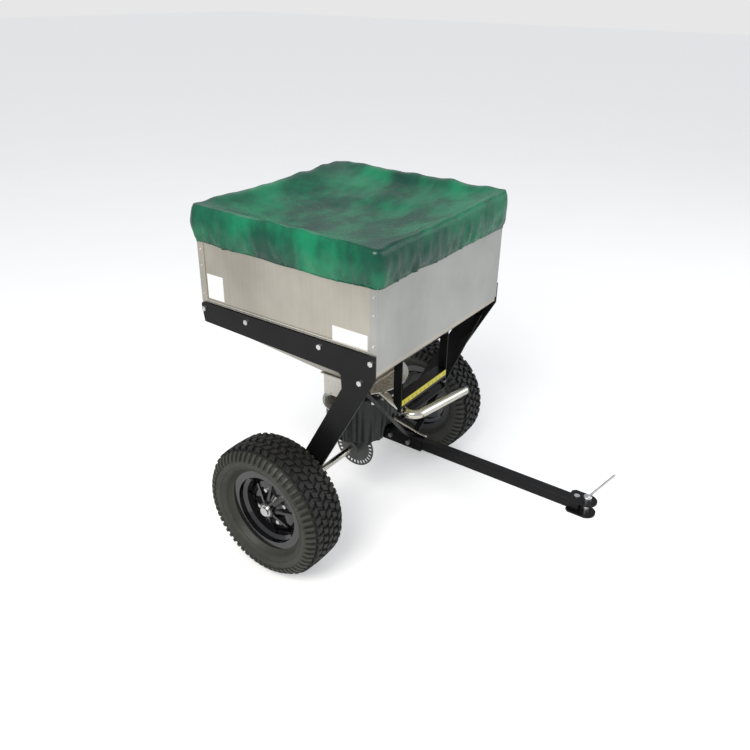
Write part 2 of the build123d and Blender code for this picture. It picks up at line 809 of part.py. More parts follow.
def quadrant():
    """Scale plate: a top web and an upright face for the scale."""
    t = quadrant_t
    top = block(-quadrant_half, quadrant_half, -quadrant_y + t, -quadrant_y + quadrant_deep,
                quadrant_z - t, quadrant_z)
    face = block(-quadrant_half, quadrant_half, -quadrant_y, -quadrant_y + t, quadrant_z - face_h - t, quadrant_z)
    return top + face


def notched_bar():
    """Guide bar that the lever slides over, with a notch for each setting."""
    top = guide_z
    front = -quadrant_y - 5
    rear = front + notched_bar_w
    bar = block(-quadrant_half, quadrant_half, front, rear, top - quadrant_t, top)
    step = lever_travel / (notches - 1)
    for k in range(notches):
        across = math.tan(math.radians(-lever_angle + step * k)) * quadrant_y
        bar -= block(across - notch_w / 2, across + notch_w / 2, rear - notch_deep, rear + 1, top - 10, top + 5)
    return bar


def scale_plate():
    """Thin graduated strip on the upright face of the quadrant."""
    y = -quadrant_y
    high = quadrant_z - 0.5
    return block(-quadrant_half + 1, quadrant_half - 1, y - scale_t, y, high - scale_h, high)


def hanger_place(side):
    """X of the inner face, and of the outer face, of a hanger."""
    return side * quadrant_half, side * (quadrant_half + quadrant_t)


def quadrant_hanger(side):
    """Strap from the sloping front of the hopper down past the scale plate to the notched bar."""
    y0 = -quadrant_y
    y1 = y0 + hanger_w
    neck = y0 + neck_w
    low = guide_z - quadrant_t
    shoulder = quadrant_z - face_h - quadrant_t
    slope = (-front_y - sheet - outlet_half) / (fold_z - outlet_z)

    def skin_z(y):
        return outlet_z + (-y - outlet_half) / slope
    points = [(y0, low), (neck, low), (neck, shoulder), (y1, shoulder + 14), (y1, skin_z(y1)), (y0, skin_z(y0))]
    inner, outer = hanger_place(side)
    strap = plate_yz(points, min(inner, outer), max(inner, outer))
    y, z = stop_bolt_place()
    strap -= rod_x(stop_bolt_r, inner - 5, outer + 5, y, z)
    foot_points = [(y0, skin_z(y0)), (y1, skin_z(y1)), (y1, skin_z(y1) - quadrant_t * 1.4),
                   (y0, skin_z(y0) - quadrant_t * 1.4)]
    reach = side * (quadrant_half - foot_w)
    foot = plate_yz(foot_points, min(reach, inner), max(reach, inner))
    return strap + foot


def stop_bolt_place():
    """The (y, z) place of the bolts that stop the lever at each end of the notched bar."""
    return -stop_y, lever_z


def stop_bolts():
    y, z = stop_bolt_place()
    bolts = []
    for side in (-1, 1):
        inner, outer = hanger_place(side)
        bolts.append(hex_bolt_x(side, outer, inner, y, z, stop_bolt_r))
    return Compound(children=bolts)


def duct():
    """Square drop duct under the gate, its front top edge cut down for the lobe."""
    wall = sheet
    low = block(-duct_half, duct_half, -duct_half, duct_half, duct_bottom, outlet_z - outlet_plate_t)
    low -= block(-duct_half + wall, duct_half - wall, -duct_half + wall, duct_half - wall,
                 duct_bottom - 1, outlet_z)
    cut_z = gate_bottom - 1.0
    swing_y = duct_half * math.tan(math.radians(lobe_stop + lever_travel)) + 14
    low -= block(-duct_half - 1, duct_half + 1, -duct_half - 1, -duct_half + wall + 3, cut_z, outlet_z)
    low -= block(duct_half - wall - 1, duct_half + 1, -duct_half, swing_y, cut_z, outlet_z)
    return low


def deck():
    """Half-round plate round the duct, with a turned-down rim for the curtain."""
    r = curtain_r - curtain_t
    start = -90 - curtain_half_angle
    stop = -90 + curtain_half_angle
    plate = sector(20, r, start, stop, deck_z, deck_z + deck_t)
    plate += sector(r - sheet, r, start, stop, deck_z - deck_rim, deck_z + 1)
    plate -= block(-duct_half, duct_half, -duct_half, duct_half, deck_z - 20, deck_z + 20)
    return plate


def curtain():
    """Rubber curtain round the front of the spinner."""
    start = -90 - curtain_half_angle
    inner = curtain_r - curtain_t
    knee = spinner_z - 8
    points = [
        (inner, deck_z + deck_t), (curtain_r, deck_z + deck_t), (curtain_r, knee),
        (curtain_foot_r, curtain_bottom), (curtain_foot_r - curtain_t, curtain_bottom), (inner, knee),
    ]
    face = make_face(Polyline([(r, 0, z) for r, z in points], close=True))
    wrap = revolve(face, Axis.Z, 2 * curtain_half_angle)
    wrap = spin_z(wrap, start)
    notch = bar_w / 2 + channel_t + 8
    wrap -= block(-notch, notch, -curtain_r - 5, -60, curtain_bottom - 5, bar_top + 12)
    slit = stay_d / 2 + 3
    wrap -= block(stay_x - slit, stay_x + slit, -curtain_r - 5, -60, bar_top, bracket_top)
    for angle in curtain_bolt_angles():
        wrap -= spin_z(rod_x(curtain_bolt_r, inner - 10, curtain_r + 10, 0, deck_z - 5), angle)
    return wrap


def curtain_bolt_angles():
    middle = (curtain_bolt_count - 1) / 2
    return [-90 + curtain_bolt_step * (k - middle) for k in range(curtain_bolt_count)]


def curtain_bolts():
    r = curtain_r
    bolts = []
    for angle in curtain_bolt_angles():
        bolt = rod_x(curtain_bolt_r, r - curtain_t, r + 0.5, 0, deck_z - 5)
        bolt += rod_x(2 * curtain_bolt_r, r, r + 2.2, 0, deck_z - 5)
        bolts.append(spin_z(bolt, angle))
    return Compound(children=bolts)


# Upright shaft

def main_shaft():
    return rod_z(shaft_r, pinion_z - tooth_h / 2 - 4, outlet_z + 62)


def spinner():
    """Spinner disc with radial fins and its hub."""
    hub_r_here = shaft_r + 9
    hub_low = guard_top + flange_t + gate_gap
    plate = rod_z(spinner_r, spinner_z, spinner_z + spinner_t)
    plate += rod_z(hub_r_here, hub_low, spinner_z + spinner_t + fin_h)
    for k in range(fins):
        fin = block(hub_r_here - 2, spinner_r - 1.5, -fin_t / 2, fin_t / 2,
                    spinner_z + spinner_t / 2, spinner_z + spinner_t + fin_h)
        plate += spin_z(fin, 360 / fins * k + 25)
    plate -= rod_z(shaft_r, hub_low - 5, spinner_z + 80)
    return plate


def agitator():
    """Hub with bent fingers that stirs the load above the outlet."""
    low = upper_bush_top + gate_gap
    body = rod_z(shaft_r + 5, low, low + agitator_h)
    for k in range(4):
        start = Vector(shaft_r + 2, 0, low + 8 + 6 * (k % 2))
        bend = start + Vector(finger_run, 0, 0)
        path = FilletPolyline(start, bend, bend + Vector(20, 0, finger_rise), radius=14)
        finger = sweep(Plane(origin=start, z_dir=(1, 0, 0)) * Circle(finger_r), path=path)
        body += spin_z(finger, 90 * k + 45)
    return body - rod_z(shaft_r, low - 1, low + 60)


# Cover

def cover():
    """Fitted sheet cover over the hopper rim, open below."""
    reach = sheet + rivet_head + cover_gap
    w = hopper_w + 2 * (reach + cover_t)
    length = hopper_l + 2 * (cover_gap + cover_t)
    top = rim_z + gate_gap + cover_t
    low = top - cover_drop - cover_t
    outer = Pos(0, hopper_y, (top + low) / 2) * Box(w, length, top - low)
    outer = fillet(outer.edges().filter_by(Axis.Z), 12)
    inner = Pos(0, hopper_y, (rim_z + gate_gap + low - 2) / 2)
    inner = inner * Box(w - 2 * cover_t, length - 2 * cover_t, rim_z + gate_gap - low + 2)
    return outer - inner


def node_table():
    """Every piece of the machine by name."""
    table = {
        "hopper_front_panel": end_panel(-1),
        "hopper_rear_panel": end_panel(1),
        "hopper_funnel": funnel(),
        "hopper_rivets": hopper_rivets(),
        "outlet_plate": outlet_plate(),
        "outlet_duct": duct(),
        "curtain_deck": deck(),
        "spinner_curtain": curtain(),
        "curtain_bolts": curtain_bolts(),
        "gear_bracket": bored_for_screws(gear_bracket()),
        "gear_bracket_bush": bracket_bush(),
        "bracket_stay": bracket_stay(),
        "gear_guard": bored_for_screws(gear_guard()),
        "gear_guard_screws": guard_screws(),
        "lower_shaft_bush": shaft_bush(),
        "upper_shaft_bush": gate_bush(),
        "drawbar": drawbar(),
        "drawbar_channel": drawbar_channel(),
        "channel_bolts": channel_bolts(),
        "clevis_top_plate": clevis_plate(bar_top),
        "clevis_bottom_plate": clevis_plate(bar_bottom - clevis_t),
        "clevis_bolt": clevis_bolt(),
        "hitch_pin": hitch_pin(),
        "scale_bracket": quadrant(),
        "scale_strip": scale_plate(),
        "notched_bar": notched_bar(),
        "lever_stop_bolts": stop_bolts(),
        "rate_gate": rate_gate(),
        "control_lever": lever(),
        "lever_cap": lever_cap(),
        "lever_bolts": lever_bolts(),
        "axle": rod_x(axle_r, -axle_half, axle_half, 0, wheel_r),
        "axle_spacers": Compound(children=list(sides(axle_spacer).values())),
        "axle_caps": Compound(children=list(sides(axle_cap).values())),
        "drive_disc": drive_disc(),
        "drive_disc_hub": disc_hub(),
        "main_shaft": main_shaft(),
        "pinion": pinion(),
        "spinner": spinner(),
        "agitator": agitator(),
        "cover": cover(),
    }
    paired = {
        "tyre": tyre, "rim": rim, "rim_bolts": rim_bolt_set,
        "axle_bush": axle_bush, "side_plate": side_plate,
        "side_plate_bolts": side_bolts, "side_panel": side_panel, "brace": brace,
        "scale_hanger": quadrant_hanger,
    }
    for name, make in paired.items():
        for side_name, shape in sides(make).items():
            table[f"{side_name}_{name}"] = shape
    return table


os.makedirs("parts", exist_ok=True)
for node, solid in node_table().items():
    export_step(solid, f"parts/{node}.step")
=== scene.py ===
import json
import math

import bmesh
import bpy
from mathutils import Matrix, Vector, noise


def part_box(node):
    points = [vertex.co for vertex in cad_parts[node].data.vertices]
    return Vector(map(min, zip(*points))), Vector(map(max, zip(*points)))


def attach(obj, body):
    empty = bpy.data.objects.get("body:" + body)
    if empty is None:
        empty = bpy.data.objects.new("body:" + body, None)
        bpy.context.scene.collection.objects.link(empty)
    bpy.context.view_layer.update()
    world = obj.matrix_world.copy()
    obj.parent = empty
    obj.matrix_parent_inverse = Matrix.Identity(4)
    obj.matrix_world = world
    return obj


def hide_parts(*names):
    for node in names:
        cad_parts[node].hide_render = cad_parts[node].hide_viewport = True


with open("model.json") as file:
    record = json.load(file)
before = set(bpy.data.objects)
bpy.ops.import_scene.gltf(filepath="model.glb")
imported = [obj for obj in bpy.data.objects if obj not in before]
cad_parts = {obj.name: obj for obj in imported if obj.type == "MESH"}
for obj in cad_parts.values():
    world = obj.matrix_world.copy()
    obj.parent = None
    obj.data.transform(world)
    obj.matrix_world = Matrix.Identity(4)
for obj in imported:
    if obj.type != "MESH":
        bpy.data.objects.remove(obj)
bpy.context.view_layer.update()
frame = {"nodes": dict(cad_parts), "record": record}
NODES = frame["nodes"]

# Camera, at the photograph's view
CAMERA_LENS = 35.76
CAMERA_AZIMUTH = -55.07
CAMERA_ELEVATION = 27.83
CAMERA_ROLL = 0.924
CAMERA_PLACE = (-1.6086, -1.1796, 1.4934)

# Wheels
AXLE_Z = 0.200
HALF_TRACK = 0.394
CROWN_R = 0.1918
CROWN_DROP = 1.08
AROUND = 144
KNOBS = 46
KNOB_ROWS = (-0.040, -0.020, 0.0, 0.020, 0.040)
KNOB_REACH = 0.0076
KNOB_W = 0.0185
KNOB_H = 0.0075
KNOB_TWIST = 0.035
LUGS = 62
LUG_LINE = [(0.0530, 0.1862), (0.0590, 0.1825), (0.0640, 0.1772), (0.0672, 0.1710), (0.0686, 0.1650)]
LUG_W = 0.0105
LUG_H = 0.0046
RIDGES = [(0.1480, 0.0660), (0.1345, 0.0560)]

# Cover
COVER_RINGS = 34
SKIRT_ROWS = 13
COVER_COLUMNS = 336
COVER_CORNER = 0.014
COVER_SAG = 0.052
COVER_SEAT = 0.024

# Rubber curtain
CURTAIN_HIGH = 0.417
CURTAIN_KNEE = 0.348
CURTAIN_LOW = 0.268
CURTAIN_R = 0.1192
CURTAIN_TAPER = 0.0095
CURTAIN_COLUMNS = 220
CURTAIN_ROWS = 30
BAR_NOTCH = (0.0265, 0.312)
STAY_SLIT = (0.009, 0.007, 0.340)


def shader(name):
    """A new node material, its tree and its Principled shader."""
    material = bpy.data.materials.new(name)
    material.use_nodes = True
    tree = material.node_tree
    return material, tree, tree.nodes["Principled BSDF"]


def add(tree, kind, **values):
    """A node with some of its settings and input values given."""
    node = tree.nodes.new(kind)
    for key, value in values.items():
        if key in node.inputs:
            node.inputs[key].default_value = value
        else:
            setattr(node, key, value)
    return node


def coordinates(tree, scale=(1, 1, 1)):
    """Object coordinates in metres, stretched along the axes."""
    source = add(tree, "ShaderNodeTexCoord")
    mapping = add(tree, "ShaderNodeMapping")
    mapping.inputs["Scale"].default_value = scale
    tree.links.new(source.outputs["Object"], mapping.inputs["Vector"])
    return mapping.outputs["Vector"]


def noise_node(tree, vector, scale, detail=4.0, rough=0.55):
    """Noise value from 0 to 1."""
    node = add(tree, "ShaderNodeTexNoise")
    node.inputs["Scale"].default_value = scale
    node.inputs["Detail"].default_value = detail
    node.inputs["Roughness"].default_value = rough
    tree.links.new(vector, node.inputs["Vector"])
    return node.outputs["Fac"]


def ramp(tree, value, stops):
    """Colour ramp with stops of (position, colour)."""
    node = add(tree, "ShaderNodeValToRGB")
    elements = node.color_ramp.elements
    while len(elements) < len(stops):
        elements.new(0.5)
    for element, (position, colour) in zip(elements, stops):
        element.position = position
        element.color = (*colour, 1)
    tree.links.new(value, node.inputs["Fac"])
    return node.outputs["Color"]


def spread(tree, value, low, high):
    """Map a 0 to 1 value to a range."""
    node = add(tree, "ShaderNodeMapRange")
    node.inputs["To Min"].default_value = low
    node.inputs["To Max"].default_value = high
    tree.links.new(value, node.inputs["Value"])
    return node.outputs["Result"]


def bump(tree, principled, height, strength, distance):
    """Surface relief from a height value."""
    node = add(tree, "ShaderNodeBump")
    node.inputs["Strength"].default_value = strength
    node.inputs["Distance"].default_value = distance
    tree.links.new(height, node.inputs["Height"])
    tree.links.new(node.outputs["Normal"], principled.inputs["Normal"])
    return node


def brushed_metal(name, dark, light, rough, metallic=1.0, stretch=(260, 260, 3), cloud=5.0):
    """Brushed sheet: fine streaks along Z with soft cloudy variation."""
    material, tree, principled = shader(name)
    streak = noise_node(tree, coordinates(tree, stretch), 1.0, 6.0, 0.7)
    patch = noise_node(tree, coordinates(tree), cloud, 3.0)
    mixed = add(tree, "ShaderNodeMath", operation="MULTIPLY_ADD")
    mixed.inputs[1].default_value = 0.35
    tree.links.new(streak, mixed.inputs[0])
    half = add(tree, "ShaderNodeMath", operation="MULTIPLY")
    half.inputs[1].default_value = 0.65
    tree.links.new(patch, half.inputs[0])
    tree.links.new(half.outputs[0], mixed.inputs[2])
    colour = ramp(tree, mixed.outputs[0], [(0.3, dark), (0.7, light)])
    tree.links.new(colour, principled.inputs["Base Color"])
    tree.links.new(spread(tree, streak, rough - 0.08, rough + 0.1), principled.inputs["Roughness"])
    principled.inputs["Metallic"].default_value = metallic
    bump(tree, principled, streak, 0.12, 0.0004)
    return material


def paint(name, dark, light, rough, coat=0.0, texture=420.0, strength=0.12, shine=0.5):
    """Powder coat or enamel: orange-peel bump and slight dust in the colour."""
    material, tree, principled = shader(name)
    fine = noise_node(tree, coordinates(tree), texture, 2.0)
    dust = noise_node(tree, coordinates(tree), 9.0, 6.0, 0.65)
    colour = ramp(tree, dust, [(0.35, dark), (0.72, light)])
    tree.links.new(colour, principled.inputs["Base Color"])
    tree.links.new(spread(tree, dust, rough - 0.06, rough + 0.12), principled.inputs["Roughness"])
    principled.inputs["Specular IOR Level"].default_value = shine
    principled.inputs["Coat Weight"].default_value = coat
    principled.inputs["Coat Roughness"].default_value = 0.08
    bump(tree, principled, fine, strength, 0.0003)
    return material


def rubber(name, dark, light, rough, texture=160.0):
    """Matt rubber with dust in its colour and a fine grain."""
    material, tree, principled = shader(name)
    dust = noise_node(tree, coordinates(tree), 14.0, 7.0, 0.7)
    fine = noise_node(tree, coordinates(tree), texture, 4.0)
    colour = ramp(tree, dust, [(0.3, dark), (0.7, light)])
    tree.links.new(colour, principled.inputs["Base Color"])
    tree.links.new(spread(tree, fine, rough - 0.1, rough + 0.1), principled.inputs["Roughness"])
    bump(tree, principled, fine, 0.35, 0.0006)
    return material


def tarp(name):
    """Glossy coated woven sheet with a fine weave; its colour runs in broad patches from green to near
    black, the dark patches being painted shade and painted reflection.
    """
    material, tree, principled = shader(name)
    shade_and_reflection_patches = noise_node(tree, coordinates(tree, (1.0, 1.6, 1.0)), 3.2, 5.0, 0.6)
    # The near-black stops are painted shade and painted reflection; the green stops are the sheet's own
    # colour.
    colour = ramp(tree, shade_and_reflection_patches, [
        (0.30, (0.000, 0.022, 0.020)), (0.46, (0.001, 0.075, 0.042)),
        (0.60, (0.002, 0.190, 0.085)), (0.78, (0.006, 0.260, 0.115)),
    ])
    tree.links.new(colour, principled.inputs["Base Color"])
    weave = add(tree, "ShaderNodeTexWave")
    weave.inputs["Scale"].default_value = 240.0
    weave.inputs["Distortion"].default_value = 1.0
    tree.links.new(coordinates(tree), weave.inputs["Vector"])
    crumple = noise_node(tree, coordinates(tree), 42.0, 6.0, 0.6)
    both = add(tree, "ShaderNodeMath", operation="MULTIPLY_ADD")
    both.inputs[1].default_value = 0.12
    tree.links.new(weave.outputs["Fac"], both.inputs[0])
    tree.links.new(crumple, both.inputs[2])
    tree.links.new(spread(tree, crumple, 0.16, 0.34), principled.inputs["Roughness"])
    principled.inputs["Specular IOR Level"].default_value = 0.35
    principled.inputs["Coat Weight"].default_value = 0.12
    principled.inputs["Coat Roughness"].default_value = 0.14
    bump(tree, principled, both.outputs[0], 0.35, 0.002)
    return material


STEEL = brushed_metal("stainless_sheet", (0.44, 0.41, 0.35), (0.62, 0.585, 0.51), 0.42)
# Darker, cooler copy of the stainless sheet: painted shade for the hopper's front panel, which faces away
# from the light.
STEEL_SHADED_FRONT = brushed_metal("stainless_front_painted_shade", (0.40, 0.40, 0.38), (0.55, 0.55, 0.53), 0.45)
BRIGHT = brushed_metal("stainless_bright", (0.52, 0.50, 0.46), (0.74, 0.72, 0.67), 0.26)
TUBE = brushed_metal("stainless_tube", (0.45, 0.43, 0.37), (0.80, 0.77, 0.68), 0.2, stretch=(60, 60, 60))
ZINC = brushed_metal("zinc_plate", (0.5, 0.5, 0.5), (0.8, 0.8, 0.8), 0.28, stretch=(90, 90, 90))
BLACK = paint("black_powder_coat", (0.003, 0.003, 0.004), (0.008, 0.008, 0.008), 0.34, shine=0.22)
RIM = paint("rim_enamel", (0.002, 0.002, 0.003), (0.006, 0.006, 0.007), 0.12, coat=0.8, strength=0.03)
SIDEWALL = rubber("tyre_sidewall", (0.016, 0.017, 0.013), (0.040, 0.040, 0.030), 0.55)
TREAD = rubber("tyre_tread", (0.003, 0.003, 0.003), (0.012, 0.012, 0.010), 0.62)
SHEET_RUBBER = rubber("rubber_sheet", (0.005, 0.007, 0.007), (0.014, 0.018, 0.017), 0.5, 60.0)
GEAR = brushed_metal("gear_steel", (0.10, 0.105, 0.10), (0.19, 0.195, 0.19), 0.5,
                     metallic=0.6, stretch=(80, 80, 80))
TARP = tarp("green_tarp")
PLASTIC = paint("bush_plastic", (0.01, 0.01, 0.01), (0.02, 0.02, 0.02), 0.5)
CAP = paint("cap_plastic", (0.03, 0.055, 0.08), (0.06, 0.095, 0.13), 0.3)
YELLOW = paint("scale_yellow", (0.60, 0.52, 0.03), (0.72, 0.64, 0.05), 0.35)
INK = paint("scale_ink", (0.01, 0.01, 0.01), (0.02, 0.02, 0.02), 0.5)
LABEL = paint("label_white", (0.80, 0.80, 0.80), (0.88, 0.88, 0.88), 0.35)

BY_SLOT = {
    "stainless_sheet": STEEL, "stainless_tube": TUBE, "zinc_plate": ZINC, "black_powder_coat": BLACK,
    "rim_paint": RIM, "tyre": TREAD, "rubber_sheet": SHEET_RUBBER, "gear_steel": GEAR,
    "green_tarp": TARP, "bush_plastic": PLASTIC, "cap_plastic": CAP, "scale_yellow": YELLOW,
}
# The hopper's front panel takes the darker stainless copy, which is painted shade.
BY_NODE = {
    "hopper_front_panel": STEEL_SHADED_FRONT, "outlet_duct": BRIGHT, "rate_gate": BRIGHT, "spinner": BRIGHT,
    "left_axle_bush": BLACK, "right_axle_bush": BLACK,
}


def finish_nodes():
    """Give every CAD node its material."""
    slots = {entry["node"]: entry["material_slot"] for entry in frame["record"]["subparts"]}
    for name, obj in NODES.items():
        obj.data.materials.clear()
        obj.data.materials.append(BY_NODE.get(name, BY_SLOT[slots[name]]))


def piece(name, mesh_or_bm, body, materials):
    """A new object in the scene that rides on a body."""
    if isinstance(mesh_or_bm, bmesh.types.BMesh):
        mesh = bpy.data.meshes.new(name)
        mesh_or_bm.to_mesh(mesh)
        mesh_or_bm.free()
    else:
        mesh = mesh_or_bm
    obj = bpy.data.objects.new(name, mesh)
    bpy.context.scene.collection.objects.link(obj)
    for material in materials:
        mesh.materials.append(material)
    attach(obj, body)
    return obj


def smooth(obj, angle=40):
    """Smooth shading with sharp edges over an angle."""
    for polygon in obj.data.polygons:
        polygon.use_smooth = True
    obj.data.set_sharp_from_angle(angle=math.radians(angle))


# Tyres

def tyre_profile():
    """Half of the carcass outline from the bead to the crown: (across, radius) in metres."""
    return [
        (0.036, 0.1225), (0.0395, 0.1228), (0.0425, 0.1265),
        (0.050, 0.1305), (0.058, 0.1365), (0.0645, 0.1450),
        (0.0680, 0.1540), (0.0690, 0.1620), (0.0675, 0.1705), (0.0630, 0.1785), (0.0560, 0.1850),
        (0.0450, 0.1885), (0.0300, 0.1905), (0.0150, 0.1915), (0.0, 0.1918),
    ]


def carcass(bm):
    """The tyre's body, a closed ring about the X axis."""
    half = tyre_profile()
    outline = half + [(-u, r) for u, r in reversed(half[:-1])]
    inner = [(-0.036, 0.112), (0.036, 0.112)]
    loop = outline + inner
    rings = []
    for i in range(AROUND):
        a = 2 * math.pi * i / AROUND
        rings.append([bm.verts.new((u, r * math.cos(a), r * math.sin(a))) for u, r in loop])
    count = len(loop)
    for i in range(AROUND):
        ring, following = rings[i], rings[(i + 1) % AROUND]
        for j in range(count):
            k = (j + 1) % count
            face = bm.faces.new((ring[j], ring[k], following[k], following[j]))
            u, r = loop[j]
            face.material_index = 0 if r < 0.178 else 1
            face.smooth = True


def tread_block(bm, path, angle, width, height, twist=0.0, material=1, taper=0.8):
    """A rubber block that follows a path of (across, radius) points at one angle round the tyre."""
    rows = []
    count = len(path)
    for i, (u, r) in enumerate(path):
        before = path[max(i - 1, 0)]
        after = path[min(i + 1, count - 1)]
        along = Vector((after[0] - before[0], after[1] - before[1])).normalized()
        out = Vector((-along.y, along.x))
        if out.y < 0 and abs(out.y) > 0.2 or out.x * u < 0:
            out = -out
        if abs(u) < 0.03 and out.y < 0:
            out = -out
        a = angle + twist * (i / (count - 1) - 0.5)
        row = []
        for lift, share in ((-0.0015, 1.0), (height, taper)):
            uu = u + out.x * lift
            rr = r + out.y * lift
            for side in (-1, 1):
                t = a + side * width * share / (2 * rr)
                row.append(bm.verts.new((uu, rr * math.cos(t), rr * math.sin(t))))
        rows.append(row)
    for a, b in zip(rows, rows[1:]):
        for j, k in ((2, 3), (0, 2), (3, 1)):
            bm.faces.new((a[j], a[k], b[k], b[j])).material_index = material
    for row in (rows[0], rows[-1]):
        bm.faces.new((row[0], row[1], row[3], row[2])).material_index = material


def crown_radius(u):
    """Radius of the carcass under the tread at a distance across."""
    return CROWN_R - CROWN_DROP * u * u


def tyre_mesh():
    """Carcass, five rows of tread blocks, shoulder lugs and moulded sidewall lines."""
    bm = bmesh.new()
    carcass(bm)
    for k in range(KNOBS):
        for row, across in enumerate(KNOB_ROWS):
            angle = 2 * math.pi * (k + 0.5 * (row % 2)) / KNOBS
            path = [(u, crown_radius(u)) for u in (across - KNOB_REACH, across, across + KNOB_REACH)]
            twist = KNOB_TWIST if row % 2 else -KNOB_TWIST
            tread_block(bm, path, angle, KNOB_W, KNOB_H, twist=twist, taper=0.78)
    for k in range(LUGS):
        for side in (-1, 1):
            angle = 2 * math.pi * (k + (0.5 if side > 0 else 0)) / LUGS
            tread_block(bm, [(side * u, r) for u, r in LUG_LINE], angle, LUG_W, LUG_H, material=0)
    for side in (-1, 1):
        for radius, across in RIDGES:
            ridge(bm, side * across, radius)
    bmesh.ops.recalc_face_normals(bm, faces=bm.faces)
    return bm


def ridge(bm, across, radius):
    """Thin moulded line round the sidewall."""
    side = 1 if across > 0 else -1
    rings = []
    for i in range(AROUND):
        a = 2 * math.pi * i / AROUND
        ring = []
        for du, dr in ((-0.001, -0.0014), (0.0009, -0.0007), (0.0009, 0.0007), (-0.001, 0.0014)):
            r = radius + dr
            ring.append(bm.verts.new((across + side * du, r * math.cos(a), r * math.sin(a))))
        rings.append(ring)
    for i in range(AROUND):
        ring, following = rings[i], rings[(i + 1) % AROUND]
        for j in range(3):
            bm.faces.new((ring[j], ring[j + 1], following[j + 1], following[j])).smooth = True


def make_tyres():
    """Both tyres, each on its own wheel."""
    for side, body, node in ((1, "axle_drive", "left_tyre"), (-1, "free_wheel", "right_tyre")):
        bm = tyre_mesh()
        move = Matrix.Translation((side * HALF_TRACK, 0, AXLE_Z))
        bmesh.ops.transform(bm, matrix=move, verts=bm.verts)
        obj = piece(node + "_tread", bm, body, [SIDEWALL, TREAD])
        soften = obj.modifiers.new("soften", "BEVEL")
        soften.width = 0.0011
        soften.segments = 2
        soften.limit_method = "ANGLE"
        soften.angle_limit = math.radians(50)
        smooth(obj, 45)
        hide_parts(node)


# Cover

def square_ring(half_x, half_y, corner, columns):
    """Points round a rectangle with rounded corners, evenly spaced, with outward directions."""
    corner = min(corner, half_x, half_y)
    straight_x = 2 * (half_x - corner)
    straight_y = 2 * (half_y - corner)
    quarter = math.pi * corner / 2
    total = 2 * straight_x + 2 * straight_y + 4 * quarter
    points = []
    for i in range(columns):
        d = total * i / columns
        sections = [
            (straight_x, "line", (-half_x + corner, -half_y), (1, 0), (0, -1)),
            (quarter, "arc", (half_x - corner, -half_y + corner), -90, None),
            (straight_y, "line", (half_x, -half_y + corner), (0, 1), (1, 0)),
            (quarter, "arc", (half_x - corner, half_y - corner), 0, None),
            (straight_x, "line", (half_x - corner, half_y), (-1, 0), (0, 1)),
            (quarter, "arc", (-half_x + corner, half_y - corner), 90, None),
            (straight_y, "line", (-half_x, half_y - corner), (0, -1), (-1, 0)),
            (quarter, "arc", (-half_x + corner, -half_y + corner), 180, None),
        ]
        for length, kind, a, b, c in sections:
            last = kind == "arc" and a[0] < 0 and a[1] < 0
            if d <= length or last:
                if kind == "line":
                    points.append(((a[0] + b[0] * d, a[1] + b[1] * d), c))
                else:
                    t = math.radians(b + 90 * d / max(length, 1e-9))
                    out = (math.cos(t), math.sin(t))
                    points.append(((a[0] + corner * out[0], a[1] + corner * out[1]), out))
                break
            d -= length
    return points


def cover_mesh():
    """The sheet: rings of the sagging top, rows of the skirt and the middle point."""
    low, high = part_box("cover")
    centre = (low + high) / 2
    half_x = (high.x - low.x) / 2 - 0.0005
    half_y = (high.y - low.y) / 2 - 0.0005
    top = high.z - 0.001
    verts = []
    outline = square_ring(half_x, half_y, COVER_CORNER, COVER_COLUMNS)
    for ring in range(1, COVER_RINGS + 1):
        share = ring / COVER_RINGS
        for (x, y), _ in outline:
            verts.append(sag_point(x * share, y * share, share, half_x, half_y, centre, top))
    drop = top - low.z
    for row in range(1, SKIRT_ROWS + 1):
        fall = row / SKIRT_ROWS
        for index, ((x, y), out) in enumerate(outline):
            verts.append(skirt_point(x, y, out, index, fall, drop, centre, top))
    verts.append(sag_point(0, 0, 0, half_x, half_y, centre, top))
    rows = COVER_RINGS + SKIRT_ROWS
    faces = []
    for ring in range(rows - 1):
        for i in range(COVER_COLUMNS):
            k = (i + 1) % COVER_COLUMNS
            a = ring * COVER_COLUMNS
            b = a + COVER_COLUMNS
            faces.append((a + i, b + i, b + k, a + k))
    middle = len(verts) - 1
    for i in range(COVER_COLUMNS):
        faces.append((middle, i, (i + 1) % COVER_COLUMNS))
    mesh = bpy.data.meshes.new("cover_sheet")
    mesh.from_pydata(verts, [], faces)
    return mesh


def rim_height(x, y):
    """Height of the sheet over the rim: higher at the far corners, as it is pulled."""
    wave = noise.noise(Vector((x * 9, y * 9, 4.2))) * 0.0025
    return 0.004 + 0.010 * max(0.0, x) / 0.31 + 0.002 * y / 0.3 + wave


def sag_point(x, y, share, half_x, half_y, centre, top):
    """A point of the sagging top."""
    across_x = max(0, 1 - (x / (half_x - COVER_SEAT)) ** 2)
    across_y = max(0, 1 - (y / (half_y - COVER_SEAT)) ** 2)
    across = across_x * across_y
    edge = max(abs(x) / half_x, abs(y) / half_y)
    sag = COVER_SAG * across ** 0.62
    fold = noise.noise(Vector((x * 5.2, y * 3.1, 1.3))) * 0.016
    fold += noise.noise(Vector((x * 13 + 3, y * 8, 2.7))) * 0.006
    fold += noise.noise(Vector((x * 34, y * 26, 5.1))) * 0.0016
    fold *= min(1.0, across * 4)
    bead = 0.006 * math.exp(-((1 - edge) / 0.05) ** 2) * (0.6 + noise.noise(Vector((x * 20, y * 20, 8.8))))
    z = top - sag + fold + rim_height(x, y) + max(0, bead)
    return (centre.x + x, centre.y + y, z)


